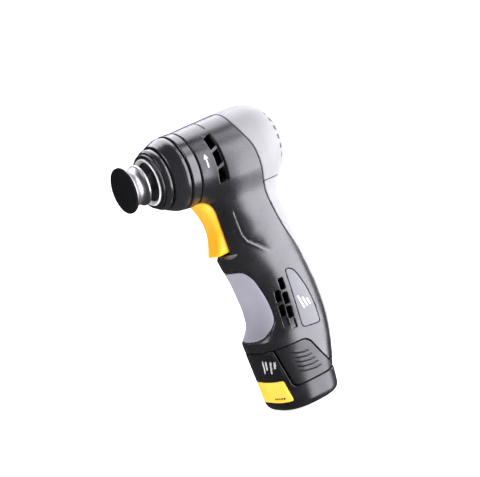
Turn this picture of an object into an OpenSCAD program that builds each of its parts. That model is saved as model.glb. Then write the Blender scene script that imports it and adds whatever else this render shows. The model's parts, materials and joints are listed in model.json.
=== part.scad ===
// Cordless pistol-grip grinder with a planetary gearbox, a round hook pad and a slide-in battery.
// Frame: origin at the centre of the base underside, +Z up, the spindle points along -X,
// the tool's left side is -Y. All sizes are in millimetres.

/* [Head] */
// Height of the head's axis above the base
axis_z = 173; // [172:0.5:174]
// Largest radius of the head
head_r = 28.2; // [27.8:0.1:28.6]
// Radius of the head at its front edge
head_front_r = 24.8; // [24.6:0.1:25]
// Where the head is widest
dome_x = 19; // [18:0.5:20]
// Rearmost point of the head
head_rear_x = 44; // [43:0.5:45]
// Wall of the housing shells
wall = 2.2; // [1.8:0.1:2.4]

/* [Pad] */
// Front face of the hook disc
pad_face_x = -75; // [-76:0.5:-74]
// Radius of the hook disc
pad_r = 15; // [14.5:0.1:15.5]
// Thickness of the hook disc
pad_t = 2; // [1.5:0.1:2.5]

/* [Gear train] */
// Tooth size
gear_module = 0.75; // [0.74:0.01:0.75]
// Teeth of the sun gear
sun_teeth = 12; // [12:1:12]
// Teeth of each planet gear
planet_teeth = 18; // [18:1:18]
// Number of planet gears
planet_count = 3; // [3:1:3]
// Pressure angle of the teeth
pressure_angle = 25; // [24:0.5:26]
// Thickness taken off each tooth so that the gears run free
backlash = 0.06; // [0.05:0.01:0.08]
// Radius of the planet pins
pin_r = 1.48; // [1.4:0.02:1.5]

/* [Motor] */
// Outer radius of the motor can
can_r = 18.25; // [18:0.05:18.3]
// Radius of the motor shaft
shaft_r = 1.58; // [1.5:0.02:1.6]
// Outer radius of the cooling fan
fan_r = 19.5; // [18:0.5:20]
// Blades of the cooling fan
fan_blades = 11; // [7:1:13]

/* [Trigger] */
// Width of the trigger
trigger_w = 16; // [15:0.5:16]
// How far the trigger travels
trigger_travel = 5; // [4:0.5:5]

/* [Battery] */
// Radius of one cell
cell_r = 9.1; // [9:0.05:9.1]
// Length of one cell
cell_len = 65; // [64:0.5:65]
// Height of the seam between the battery and the foot of the handle
seam_z = 43.2; // [43:0.1:43.4]
// Height of the seam between the battery base and the side latches
base_z = 16; // [15.8:0.1:16.4]
// How far a side latch presses in
latch_travel = 1.5; // [1:0.1:1.5]

/* [Hidden] */

// Gap that keeps neighbouring pieces of one body apart, and the gap of a visible seam
fit_gap = 0.05;
seam_gap = 0.3;
far = 90;

// Stations of the grip, foot and battery: height, front x, rear x, half width, corner power
STATIONS = [
    [0, -17.8, 18.8, 17.4, 2.6],
    [0.5, -19.6, 20.6, 19.2, 2.6],
    [1.6, -21.4, 22.4, 21, 2.7],
    [3.4, -22.6, 23.6, 22.2, 2.8],
    [6, -23.2, 24.2, 22.8, 2.8],
    [16, -23.6, 25.2, 23.1, 2.8],
    [25, -24.2, 28, 23.2, 2.8],
    [35, -24.9, 31.3, 23.2, 2.8],
    [43.2, -25.5, 33.6, 23.1, 2.8],
    [48.7, -26, 34.7, 23, 2.8],
    [52, -24.3, 35.4, 22.8, 2.7],
    [56, -20.8, 35.7, 22.6, 2.6],
    [62, -18.6, 36, 22.3, 2.5],
    [70, -18.2, 36, 21.8, 2.5],
    [80, -19.2, 35.6, 20.9, 2.5],
    [92, -21, 34.6, 19.6, 2.5],
    [104, -24.2, 33, 18.5, 2.5],
    [113, -25.4, 31.6, 17.9, 2.6],
    [121, -24.3, 30.6, 17.8, 2.7],
    [130, -24, 29.8, 17.9, 2.8],
    [140, -23.5, 29, 18.6, 2.8],
    [150, -23, 29.5, 20.5, 2.8],
    [158, -22.5, 31, 22.2, 2.8]];
// Side seam between the housing halves and the back strap: height, x
STRAP_SEAM = [[20, 22], [42, 25.7], [52, 27], [64, 28], [72, 28], [80, 27.3], [90, 26.2], [99, 25.2],
    [107, 23], [114, 20.4], [130, 16.2], [146, 13.4], [158, 12.2]];
// Front edge of the skirt that the handle hangs behind the battery: height, x
SKIRT = [[23, 16.4], [29, 12.3], [43.2, 4.8]];
// Front edge of the side latches: height, x
LATCH_FRONT = [[15, -14.6], [45, -19.6]];

function column(k) = [for (s = STATIONS) [s[0], s[k]]];
FRONT_X = column(1);
REAR_X = column(2);
HALF_W = column(3);
POWER = column(4);
function signed_pow(v, p) = sign(v) * pow(abs(v), p);
function mid_x(z) = (lookup(z, REAR_X) + lookup(z, FRONT_X)) / 2;
function half_depth(z) = (lookup(z, REAR_X) - lookup(z, FRONT_X)) / 2;
// Point of the outline at height z and angle t (0 is the rear, 180 the front), moved inwards
function outline(z, t, inward) = let (p = 2 / lookup(z, POWER)) [
    mid_x(z) + (half_depth(z) - inward) * signed_pow(cos(t), p),
    (lookup(z, HALF_W) - inward) * signed_pow(sin(t), p),
    z];
// Angle on the left side at which the outline crosses a given x
function angle_at(z, x) = 360 - acos(signed_pow((x - mid_x(z)) / half_depth(z), lookup(z, POWER) / 2));
function heights(low, high) =
    concat([low], [for (s = STATIONS) if (s[0] > low + 0.2 && s[0] < high - 0.2) s[0]], [high]);

function strap_angle(z) = angle_at(z, lookup(z, STRAP_SEAM));

ring_steps = 40;
strip_steps = 18;
function closed_ring(z, inward) = [for (i = [0 : ring_steps - 1]) outline(z, 360 * i / ring_steps, inward)];
function strip_ring(z, t0, t1, outer, inner) = concat(
    [for (i = [0 : strip_steps]) outline(z, t0 + (t1 - t0) * i / strip_steps, outer)],
    [for (i = [strip_steps : -1 : 0]) outline(z, t0 + (t1 - t0) * i / strip_steps, inner)]);

// Solid through a stack of rings that all have the same number of points
module loft(rings) {
    n = len(rings[0]);
    m = len(rings);
    ends = [[for (i = [0 : n - 1]) i], [for (i = [n - 1 : -1 : 0]) (m - 1) * n + i]];
    sides = [for (j = [0 : m - 2]) for (i = [0 : n - 1]) let (k = (i + 1) % n)
        each [[j * n + i, (j + 1) * n + i, (j + 1) * n + k], [j * n + i, (j + 1) * n + k, j * n + k]]];
    polyhedron([for (r = rings) each r], concat(ends, sides));
}
// Solid body of the outline between two heights
module grip_solid(low, high, inward) {
    loft([for (z = heights(low, high)) closed_ring(z, inward)]);
}
// Prism across the tool from a side-view outline, which can be made smaller all round
module side_prism(points, y0, y1, smaller = 0) {
    translate([0, y1, 0]) rotate([90, 0, 0]) linear_extrude(y1 - y0) {
        if (smaller > 0) offset(delta = -smaller) polygon(points);
        else polygon(points);
    }
}
// Solid of revolution about the head's axis, from points [x, radius]
module head_lathe(points) {
    translate([0, 0, axis_z]) rotate([0, 90, 0]) rotate_extrude($fn = 96)
        polygon([for (p = points) [p[1], p[0]]]);
}
module head_ring(x0, x1, r0, r1) {
    head_lathe([[x0, r0], [x0, r1], [x1, r1], [x1, r0]]);
}
// Places a piece that is drawn along +Z on the head's axis, starting at x
module on_axis(x) {
    translate([x, 0, axis_z]) rotate([0, 90, 0]) children();
}
module mirrored() {
    children();
    mirror([0, 1, 0]) children();
}

// ---- Spindle and pad ----
holder_rear_x = -62.2;
holder_front_r = 14.3;
holder_waist_r = 11.6;
holder_flange_r = 13.2;
stud_r = 3;
module hook_disc() {
    edge = 0.5;
    color("#16161a") head_lathe([[pad_face_x, 0], [pad_face_x, pad_r - edge], [pad_face_x + edge, pad_r],
        [pad_face_x + pad_t, pad_r], [pad_face_x + pad_t, 0]]);
}
module pad_holder() {
    x0 = pad_face_x + pad_t;
    x1 = holder_rear_x - 1.4;
    waist_depth = (holder_front_r + holder_flange_r) / 2 - holder_waist_r;
    waist = [for (i = [0 : 10]) let (u = i / 10) [x0 + 0.8 + (x1 - x0 - 0.8) * u,
        holder_front_r + (holder_flange_r - holder_front_r) * u - waist_depth * pow(sin(180 * u), 0.8)]];
    color("silver") head_lathe(concat([[x0, stud_r + 0.02], [x0, holder_front_r]], waist,
        [[holder_rear_x, holder_flange_r], [holder_rear_x, stud_r + 0.02]]));
}
module spindle() {
    color("#8c8c90") difference() {
        head_lathe([[-72, 0], [-72, stud_r], [-62.1, stud_r], [-62.1, 5.5], [-54.2, 5.5], [-54.2, 4],
            [-42.3, 4], [-42.3, 0]]);
        for (side = [-1, 1]) translate([-61, side * 9, axis_z]) cube([3.5, 8.4, 12], center = true);
    }
}
orbit_r = (sun_teeth + planet_teeth) * gear_module / 2;
carrier_x = [-44.3, -42.5];
module planet_places() {
    for (k = [0 : planet_count - 1]) rotate(360 * k / planet_count) translate([orbit_r, 0, 0]) children();
}
module planet_carrier() {
    color("#77777c") on_axis(carrier_x[0]) difference() {
        cylinder(h = carrier_x[1] - carrier_x[0], r = orbit_r + 4, $fn = 96);
        translate([0, 0, -1]) cylinder(h = 4, r = 4.02, $fn = 48);
        planet_places() translate([0, 0, -1]) cylinder(h = 4, r = pin_r + 0.02, $fn = 32);
    }
}
module planet_pins() {
    color("silver") on_axis(carrier_x[0]) planet_places() cylinder(h = 9.9, r = pin_r, $fn = 32);
}
module front_bearing() {
    color("silver") {
        head_ring(-49.9, -45, 4.03, 5.3);
        head_ring(-49.9, -45, 6.9, 8);
        on_axis(-47.45) for (i = [0 : 7]) rotate(45 * i) translate([6.1, 0, 0]) sphere(r = 0.78, $fn = 24);
    }
}

// ---- Gears ----
function involute_deg(a) = tan(a) * 180 / PI - a;
// Outline of an external gear; the ring gear is cut with the same outline
function gear_points(teeth, out, root, thinner) = let (
    rp = teeth * gear_module / 2,
    rb = rp * cos(pressure_angle),
    r0 = max(rb, rp - root),
    r1 = rp + out,
    base = (PI * gear_module / 2 - thinner) / (2 * rp) * 180 / PI + involute_deg(pressure_angle),
    flank = [for (i = [0 : 4]) let (r = r0 + (r1 - r0) * i / 4)
        [r, base - involute_deg(acos(min(1, rb / r)))]],
    foot = rp - root < r0 - 0.01 ? [[rp - root, flank[0][1]]] : [],
    half = concat(foot, flank))
    [for (k = [0 : teeth - 1]) each concat(
        [for (p = half) let (a = 360 * k / teeth - p[1]) p[0] * [cos(a), sin(a)]],
        [for (i = [len(half) - 1 : -1 : 0]) let (a = 360 * k / teeth + half[i][1])
            half[i][0] * [cos(a), sin(a)]])];
tooth_out = 0.9 * gear_module;
tooth_root = 1.25 * gear_module;
ring_teeth = sun_teeth + 2 * planet_teeth;
gears_x = -41.9;
module ring_gear() {
    color("#6d6d72") on_axis(gears_x - 0.5) difference() {
        cylinder(h = 7.8, r = 20.5, $fn = 96);
        translate([0, 0, -1]) linear_extrude(10) rotate(180 / ring_teeth)
            polygon(gear_points(ring_teeth, tooth_root, tooth_out, -backlash));
    }
}
module planet_gear(k) {
    color("#a8a29a") on_axis(gears_x) rotate(360 * k / planet_count) translate([orbit_r, 0, 0])
        rotate(180 / planet_teeth) difference() {
            linear_extrude(6.6) polygon(gear_points(planet_teeth, tooth_out, tooth_root, backlash));
            translate([0, 0, -1]) cylinder(h = 9, r = pin_r + 0.05, $fn = 32);
        }
}
module planet_gear_1() { planet_gear(0); }
module planet_gear_2() { planet_gear(1); }
module planet_gear_3() { planet_gear(2); }
module sun_gear() {
    color("#b0aca4") on_axis(gears_x + 0.3) difference() {
        linear_extrude(7.2) polygon(gear_points(sun_teeth, tooth_out, tooth_root, backlash));
        translate([0, 0, -1]) cylinder(h = 9, r = shaft_r + 0.01, $fn = 32);
    }
}

// ---- Nose ----
case_rear_x = -38.8;
boss_r = 15.4;
cup_inner_r = 12.8;
module dust_seal() {
    color("#1b1b1d") head_lathe([[-54.4, 5.6], [-54.4, 9.6], [-55.6, cup_inner_r - 0.1],
        [-53.05, cup_inner_r - 0.1], [-53.05, 5.6]]);
}
module nose_cup() {
    color("gainsboro") head_lathe([[-53.05, cup_inner_r], [-55.9, cup_inner_r], [-57.1, 14.2], [-57.4, 14.7],
        [-57.4, 15], [-57.1, boss_r], [-53.05, boss_r]]);
}
module nose_lip() {
    color("#1a1a1c") head_lathe([[-50.3, boss_r + 0.1], [-56.4, boss_r + 0.1], [-56.7, 15.9], [-56.5, 17.3],
        [-55.9, 17.9], [-50.3, 17.9]]);
}
module nose_ring() {
    color("#3a3b40") head_lathe([[-50.3, 17.95], [-54.4, 17.95], [-54.3, 18.7], [-52.5, 19.9], [-51.7, 20.1],
        [-50.3, 20.1]]);
}
module gear_case() {
    rear_x = -27;
    color("#2a2b2f") head_lathe([[-53, 6.2], [-53, boss_r], [-50.25, boss_r], [-50.25, 18.6], [-49.1, 18.6],
        [-49.1, 20.8], [-48.7, 21.3], [-46, 22.6], [-42, 24], [case_rear_x - 0.6, 24.4], [case_rear_x, 23.9],
        [case_rear_x, 22.8], [-31.1, 22.8], [-31.1, 22.4], [rear_x, 22.4], [rear_x, 20.55], [-44.7, 20.55],
        [-44.7, 8.02], [-50, 8.02], [-50, 6.2]]);
}
module collar_ring() {
    color("#34353a") head_lathe([[-37.9, 22.9], [-37.9, 24.3], [-37.4, 24.8], [-32, 24.85], [-31.5, 24.4],
        [-31.5, 22.9]]);
}
module gearbox_plate() {
    color("#55565a") difference() {
        head_ring(-31, -29.4, 4.5, 20.5);
        on_axis(-32) for (a = [0, 180]) rotate(a) translate([14, 0, 0]) cylinder(h = 4, r = 1.5, $fn = 24);
    }
}

// ---- Motor ----
can_x = [-10, 30];
can_wall = 1.4;
core_x = [0, 20];
core_r = 12.9;
module motor_shaft() {
    color("silver") head_lathe([[-41.6, 0], [-41.6, shaft_r], [38, shaft_r], [38, 0]]);
}
module motor_fan() {
    hub_r = 5;
    color("#dedede") on_axis(-22) difference() {
        union() {
            cylinder(h = 8, r = hub_r, $fn = 48);
            translate([0, 0, 6.8]) cylinder(h = 1.2, r = fan_r, $fn = 96);
            for (i = [0 : fan_blades - 1]) rotate(360 * i / fan_blades)
                translate([hub_r - 1, -0.5, 0]) cube([fan_r - hub_r, 1, 7]);
        }
        translate([0, 0, -1]) cylinder(h = 10, r = shaft_r + 0.01, $fn = 32);
    }
}
module armature_core() {
    color("#60605f") on_axis(core_x[0]) difference() {
        cylinder(h = core_x[1] - core_x[0], r = core_r, $fn = 96);
        translate([0, 0, -1]) cylinder(h = 30, r = shaft_r + 0.01, $fn = 32);
        for (i = [0 : 4]) rotate(72 * i) {
            translate([core_r - 4, -0.9, -1]) cube([6, 1.8, 30]);
            translate([8, 0, -1]) cylinder(h = 30, r = 2.4, $fn = 32);
        }
    }
}
module armature_windings() {
    color("#b06a32") {
        for (x = [core_x[0] - 4.1, core_x[1] + 0.1])
            head_lathe([[x, 3.5], [x, 9.5], [x + 1.2, 11.2], [x + 2.8, 11.2], [x + 4, 9.5], [x + 4, 3.5]]);
        on_axis(core_x[0]) for (i = [0 : 4]) rotate(72 * i) translate([8, 0, 0.05])
            cylinder(h = core_x[1] - core_x[0] - 0.1, r = 2.3, $fn = 24);
    }
}
module commutator() {
    color("#b87333") head_ring(25, 32.5, shaft_r + 0.01, 4.2);
}
module motor_can() {
    inner = can_r - can_wall;
    color("#9a9b9e") difference() {
        head_lathe([[can_x[0], 4.02], [can_x[0], can_r - 1], [can_x[0] + 1, can_r], [can_x[1], can_r],
            [can_x[1], inner], [can_x[0] + can_wall, inner], [can_x[0] + can_wall, 5.6], [can_x[0] + 4, 5.6],
            [can_x[0] + 4, 4.02]]);
        on_axis(can_x[0] - 1) for (a = [45, 135, 225, 315]) rotate(a) translate([10.5, 0, 0])
            cylinder(h = 4, r = 2.6, $fn = 24);
    }
}
module motor_magnets() {
    inner = can_r - can_wall - fit_gap;
    color("#3c3c3f") on_axis(-3) for (a = [25, 205]) rotate(a)
        rotate_extrude(angle = 130, $fn = 96) translate([13.4, 0]) square([inner - 13.4, 27]);
}
module motor_end_cap() {
    rim = can_r - can_wall - fit_gap;
    color("#202022") difference() {
        head_lathe([[27, rim - 2], [27, rim], [30.05, rim], [30.05, 17.6], [34, 17.6], [36, 15.5], [36, 4.02],
            [32.9, 4.02],
            [32.9, rim - 2]]);
        on_axis(26) for (a = [0, 180]) rotate(a) translate([12, 0, 0]) cylinder(h = 12, r = 2, $fn = 24);
    }
}
module motor_bushings() {
    color("#b59a5b") {
        head_ring(can_x[0] + 0.1, can_x[0] + 3.9, shaft_r + 0.04, 4);
        head_ring(33, 35.9, shaft_r + 0.04, 4);
    }
}
module motor_brushes() {
    color("#2c2c2c") for (side = [-1, 1]) translate([29, side * 7.3, axis_z]) cube([4, 6, 4.5], center = true);
}

// ---- Head shell ----
function head_radius(x) = x < dome_x
    ? head_r - (head_r - head_front_r) * pow((dome_x - x) / (dome_x - housing_front_x), 1.2)
    : head_r * pow(max(0, 1 - pow((x - dome_x) / (head_rear_x - dome_x), 2.2)), 1 / 2.2);
housing_front_x = -30.8;
barrel_steps = [for (i = [0 : 9]) housing_front_x + (dome_x - housing_front_x) * i / 9];
dome_steps = [for (i = [1 : 12]) dome_x + (head_rear_x - dome_x) * sin(90 * i / 12)];
head_steps = concat(barrel_steps, dome_steps);
// Solid head, each radius made smaller by inward
module head_solid(inward) {
    steps = [for (x = head_steps) if (x < head_rear_x - inward - 0.3) x];
    tail = head_rear_x - inward;
    head_lathe(concat([[steps[0], 0]], [for (x = steps) [x, head_radius(x) - inward]],
        [[tail, 1], [tail, 0]]));
}
// Side view of the seam between housing and rear cap, from the top down
CAP_SEAM = [[4.1, 210], [4.1, 191], [6.2, 183], [9.2, 175], [11.2, 166], [12.4, 157], [13.4, 146]];
housing_region = concat(CAP_SEAM, [[13.4, 128], [-60, 128], [-60, 210]]);
// Side-view outlines of the front grip and of the badge
GRIP_EDGE = [[-50, 101], [-19, 98.5], [-14.4, 91], [-12.5, 83], [-11, 75], [-10.5, 67.5], [-11.2, 60.5],
    [-15.5, 55.5], [-20, 52.5], [-26, 50], [-50, 49.6]];
BADGE_EDGE = [[7.3, 89.4], [10.5, 89.3], [13.2, 87.4], [15.3, 83], [18, 73.5], [19.3, 64], [19.6, 56.5],
    [19.2, 48.2], [4, 50]];
grip_t = 1.5;
badge_t = 0.8;
inset = 0.7;
// Arrow that shows the turning direction, in side view, centred on its own origin
ARROW = [[-0.6, -4.6], [0.6, -4.6], [0.6, 1.2], [1.8, 1.2], [0, 4.6], [-1.8, 1.2], [-0.6, 1.2]];
arrow_x = -25;
module arrow_prism() {
    translate([arrow_x, 0, axis_z + 1]) side_prism(ARROW, -far, 0);
}
// x and z of the screws that clamp the halves
SCREWS = [[-4, 195], [-14.8, 104], [17.3, 112], [23.5, 82], [-4.5, 147.3]];
screw_y = [-9, 9];
module bosses() {
    intersection() {
        for (s = SCREWS) translate([s[0], 0, s[1]]) rotate([90, 0, 0]) cylinder(h = 40, r = 3.3, $fn = 32);
        union() {
            grip_solid(50, 158, 1);
            head_solid(1);
        }
    }
}
motor_rib_x = [-7, -5];
cap_rib_x = [20, 22];
module shell_half() {
    difference() {
        union() {
            difference() {
                loft([for (z = concat(heights(SKIRT[0][0], seam_z - 0.1), heights(seam_z, 158)))
                    strip_ring(z, z < seam_z ? angle_at(z, lookup(z, SKIRT)) : 180, strap_angle(z), 0, wall)]);
                head_solid(wall / 2);
            }
            difference() {
                intersection() {
                    head_solid(0);
                    side_prism(housing_region, -far, 0);
                }
                head_lathe(concat([[-60, 0], [-60, 22.55]],
                    [for (x = barrel_steps) [x, max(22.55, head_radius(x) - wall)]], [[dome_x, 0]]));
                translate([-12, -13, axis_z - 40]) cube([26, 14, 30]);
            }
            intersection() {
                head_ring(motor_rib_x[0], motor_rib_x[1], can_r + 0.1, 25.5);
                translate([-20, -far, axis_z - far]) cube([40, far, 2 * far]);
            }
            bosses();
        }
        // Trigger opening
        translate([-60, -trigger_w / 2 - 0.3, trigger_z[0] - 1])
            cube([60 + trigger_rear_x + trigger_travel + 0.4, trigger_w, trigger_z[1] - trigger_z[0] + 2]);
        // Recesses of the front grip, the badge and the arrow
        difference() {
            side_prism(GRIP_EDGE, -far, 1);
            grip_solid(45, 110, grip_t);
        }
        difference() {
            side_prism(BADGE_EDGE, -far, -8);
            grip_solid(45, 110, badge_t);
        }
        difference() {
            arrow_prism();
            head_solid(inset);
        }
        // Cooling slots beside the fan
        head_vents();
        // Cooling slots in the grip
        grip_vents();
        // Pocket for the lug of the latch
        translate([-14, -22.5, seam_z - 1]) cube([10, 3.5, 3.6]);
    }
}
// Three slots stacked round the side of the head
module head_vents() {
    for (i = [-1 : 1]) on_axis(-19.4) rotate(-91.5 + 26 * i) rotate_extrude(angle = 20, start = -10, $fn = 96)
        translate([22, 0]) square([8, 5.4]);
}
module grip_vents() {
    slot = [3.8, 2 * far - 16, 7.6];
    for (row = [0 : 2]) translate([0.9 - 0.8 * row, -far + 3, 81.9 - 9.6 * row]) cube(slot, center = true);
    for (row = [0 : 1]) translate([-4.3 - 0.8 * row, -far + 3, 75 - 9.6 * row]) cube(slot, center = true);
}
module housing_left() {
    color("#2e2f33") difference() {
        shell_half();
        for (s = SCREWS) translate([s[0], 1, s[1]]) rotate([90, 0, 0]) cylinder(h = 11, r = 1.42, $fn = 24);
    }
}
module housing_right() {
    color("#2e2f33") difference() {
        translate([0, fit_gap, 0]) mirror([0, 1, 0]) shell_half();
        for (s = SCREWS) translate([s[0], -1, s[1]]) rotate([-90, 0, 0]) {
            cylinder(h = 12, r = 1.6, $fn = 24);
            translate([0, 0, 1 + screw_y[1]]) cylinder(h = 40, r = 2.9, $fn = 32);
        }
    }
}
module housing_screws() {
    color("#505055") for (s = SCREWS) translate([s[0], screw_y[0], s[1]]) rotate([-90, 0, 0]) difference() {
        union() {
            cylinder(h = screw_y[1] - screw_y[0] + 0.5, r = 1.4, $fn = 24);
            translate([0, 0, screw_y[1] - screw_y[0] + 0.05]) cylinder(h = 2.2, r = 2.7, $fn = 32);
        }
        translate([0, 0, screw_y[1] - screw_y[0] + 1]) cylinder(h = 3, r = 1.4, $fn = 6);
    }
}
module rear_cap() {
    color("#c9cacd") difference() {
        union() {
            difference() {
                head_solid(0);
                head_solid(wall);
                side_prism(housing_region, -far, far);
                translate([dome_x - 30.2, -11, 0]) cube([42, 22, 152]);
            }
            difference() {
                head_ring(cap_rib_x[0], cap_rib_x[1], can_r + 0.1, 27);
                translate([0, -13, axis_z - 40]) cube([40, 26, 30]);
            }
        }
        cap_vents();
    }
}
// Ring of slots round the dome
module cap_vents() {
    for (i = [0 : 23]) on_axis(32.5) rotate(15 * i) translate([23.5, 0, 0]) rotate([0, -45, 0])
        cube([14, 3.2, 2.6], center = true);
}
module back_strap() {
    color("#c9cacd") difference() {
        loft([for (z = heights(SKIRT[0][0], 158)) let (t = strap_angle(z) + 0.5)
            strip_ring(z, t, 720 - t, 0, wall)]);
        head_solid(-fit_gap);
    }
}
module front_grip() {
    color("#8f8e9b") intersection() {
        difference() {
            grip_solid(50, 103, 0);
            grip_solid(49, 104, grip_t - fit_gap);
        }
        side_prism(GRIP_EDGE, -far, far, 0.1);
    }
}
module side_badges() {
    color("#9d9ca3") mirrored() intersection() {
        difference() {
            grip_solid(46, 92, 0);
            grip_solid(45, 93, badge_t - fit_gap);
        }
        side_prism(BADGE_EDGE, -far, -9, 0.1);
    }
}
module arrow_marks() {
    color("white") mirrored() intersection() {
        difference() {
            head_solid(0.1);
            head_solid(inset - fit_gap);
        }
        arrow_prism();
    }
}

// ---- Trigger and switch ----
trigger_z = [112, 150];
trigger_rear_x = -14;
plunger_z = 128;
switch_x = [-7, 13];
module trigger() {
    front = [for (i = [0 : 12]) let (u = i / 12)
        [-31.2 + 5 * sin(180 * u) + u, trigger_z[1] - 0.8 - (trigger_z[1] - trigger_z[0] - 1.6) * u]];
    color("orange") difference() {
        side_prism(concat([[trigger_rear_x, trigger_z[1]], [-30.6, trigger_z[1]]], front,
            [[-29.6, trigger_z[0]], [trigger_rear_x, trigger_z[0]]]),
            -trigger_w / 2, trigger_w / 2);
        for (z = [trigger_z[0] + 3, trigger_z[1] - 13])
            translate([-21, 1.5 - trigger_w / 2, z]) cube([10, trigger_w - 3, 10]);
    }
}
module switch_plunger() {
    color("#e8e4da") translate([-13.95, 0, plunger_z]) rotate([0, 90, 0]) cylinder(h = 12, r = 2, $fn = 32);
}
// Coil spring along +Z
module coil(r, wire, pitch, turns) {
    steps = 14;
    n = 8;
    loft([for (i = [0 : steps * turns]) let (a = 360 * i / steps)
        [for (j = [0 : n - 1]) let (b = -360 * j / n, q = r + wire * cos(b))
            [q * cos(a), q * sin(a), pitch * i / steps + wire * sin(b)]]]);
}
module trigger_spring() {
    color("silver") translate([-13.5, 0, plunger_z]) rotate([0, 90, 0]) coil(2.75, 0.35, 1.2, 5);
}
module switch_body() {
    color("#1d1d20") difference() {
        translate([switch_x[0], -7.5, 116]) cube([switch_x[1] - switch_x[0], 15, 24]);
        translate([switch_x[0] - 1, 0, plunger_z]) rotate([0, 90, 0]) cylinder(h = 6.8, r = 3.5, $fn = 32);
        translate([switch_x[0] - 1, 0, plunger_z]) rotate([0, 90, 0]) cylinder(h = trigger_travel + 7.5, r = 2.08, $fn = 32);
    }
}
board_y = 8.5;
module control_board() {
    color("#1f5c3a") translate([-11, board_y, 87]) cube([24.5, 1.6, 25]);
}
module board_transistors() {
    color("#26262a") for (i = [0 : 2]) translate([-10 + 8.2 * i, board_y - 4.6, 92]) cube([6.5, 4.5, 9]);
}
module terminal_block() {
    color("#222226") translate([-9, -8, 79.5]) cube([20, 16, 5]);
}
blade_y = 4.5;
module terminal_blades() {
    color("gold") for (side = [-1, 1]) translate([-3, side * blade_y - 0.4, 73]) cube([8, 0.8, 6.45]);
}

// ---- Battery ----
cell_gap = 0.1;
front_cell_x = -3.6;
rear_cell_x = front_cell_x + (2 * cell_r + cell_gap) * cos(30);
CELLS = [[front_cell_x, 0], [rear_cell_x, -(cell_r + cell_gap / 2)], [rear_cell_x, cell_r + cell_gap / 2]];
cell_z = 4.5;
stick_top_z = cell_z + cell_len + 1.8;
tower_top_z = stick_top_z + 7;
module stick_2d(r) {
    hull() for (c = CELLS) translate(c) circle(r = r, $fn = 32);
}
latch_t = 1.8;
// Springs between a latch and the battery case
LATCH_SPRING_Z = [22, 36];
latch_spring_x = -3;
latch_room = latch_t + latch_travel + 0.2;
skirt_gap = 1.15;
// Side view in front of the latches, moved back by dx
module front_block(dx) {
    side_prism([[-60, base_z - 2], [LATCH_FRONT[0][1] + dx, base_z - 2],
        [lookup(base_z, LATCH_FRONT) + dx, base_z],
        [lookup(seam_z, LATCH_FRONT) + dx, seam_z], [-60, seam_z]], -far, far);
}
// Side view behind the skirt's front edge, moved forward by dx
module skirt_block(dx, z0) {
    side_prism([for (z = [seam_z + 1, SKIRT[1][0], z0]) [lookup(z, SKIRT) - dx, z],
        [60, z0], [60, seam_z + 1]], -far, far);
}
spine_x = 22.8;
module battery_base() {
    color("#141416") difference() {
        union() {
            grip_solid(0, base_z, 0);
            intersection() {
                grip_solid(base_z, seam_z - seam_gap, 0);
                front_block(-0.3);
            }
        }
        translate([0, 0, cell_z - 0.1]) linear_extrude(60) stick_2d(cell_r + 1.15);
        for (p = BATTERY_SCREWS) translate([p[0], p[1], -1]) {
            cylinder(h = 30, r = 1.4, $fn = 24);
            cylinder(h = 4, r = 2.7, $fn = 24);
        }
    }
}
BATTERY_SCREWS = [[17.5, 0], [-15.6, -9], [-15.6, 9]];
module battery_screws() {
    color("#8a8a8e") for (p = BATTERY_SCREWS) translate([p[0], p[1], 1]) difference() {
        union() {
            cylinder(h = 1.9, r = 2.6, $fn = 24);
            cylinder(h = 10, r = 1.3, $fn = 24);
        }
        translate([0, 0, -0.5]) cylinder(h = 1.8, r = 1.3, $fn = 6);
    }
}
module battery_case() {
    color("#1a1a1c") difference() {
        union() {
            translate([0, 0, base_z + fit_gap]) linear_extrude(stick_top_z - base_z - fit_gap)
                stick_2d(cell_r + 1);
            difference() {
                grip_solid(base_z + fit_gap, seam_z - seam_gap, latch_room);
                front_block(0.2);
                skirt_block(skirt_gap, SKIRT[0][0] - 0.4);
            }
            intersection() {
                grip_solid(base_z + fit_gap, SKIRT[0][0] - 0.4, 0);
                translate([spine_x, -far, 0]) cube([60, 2 * far, far]);
            }
            translate([-7, -8, stick_top_z - 1]) cube([16, 16, tower_top_z - stick_top_z + 1]);
        }
        for (c = CELLS) translate([c[0], c[1], base_z - 1])
            cylinder(h = cell_z + cell_len - base_z + 1.4, r = cell_r + 0.04, $fn = 64);
        translate([0, 0, cell_z + cell_len - 0.1]) linear_extrude(0.5) stick_2d(4.1);
        for (side = [-1, 1]) translate([-4, side * blade_y - 1.4, stick_top_z + 0.5]) cube([10, 2.8, 10]);
        mirrored() for (z = LATCH_SPRING_Z) translate([latch_spring_x, -17.3, z]) rotate([90, 0, 0])
            cylinder(h = 4, r = 2.2, $fn = 32);
    }
}
module battery_cells() {
    color("#3f6fb0") for (c = CELLS) translate([c[0], c[1], cell_z]) union() {
        cylinder(h = cell_len - 0.6, r = cell_r, $fn = 64);
        cylinder(h = cell_len, r = 3, $fn = 32);
    }
}
module cell_links() {
    color("silver") translate([0, 0, cell_z + cell_len + 0.05]) linear_extrude(0.25) stick_2d(4);
}
module battery_contacts() {
    color("gold") for (side = [-1, 1]) for (wing = [-1, 1])
        translate([-3.5, side * blade_y + wing * 0.9 - 0.2, stick_top_z + 0.6]) cube([9, 0.4, 5]);
}
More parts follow.
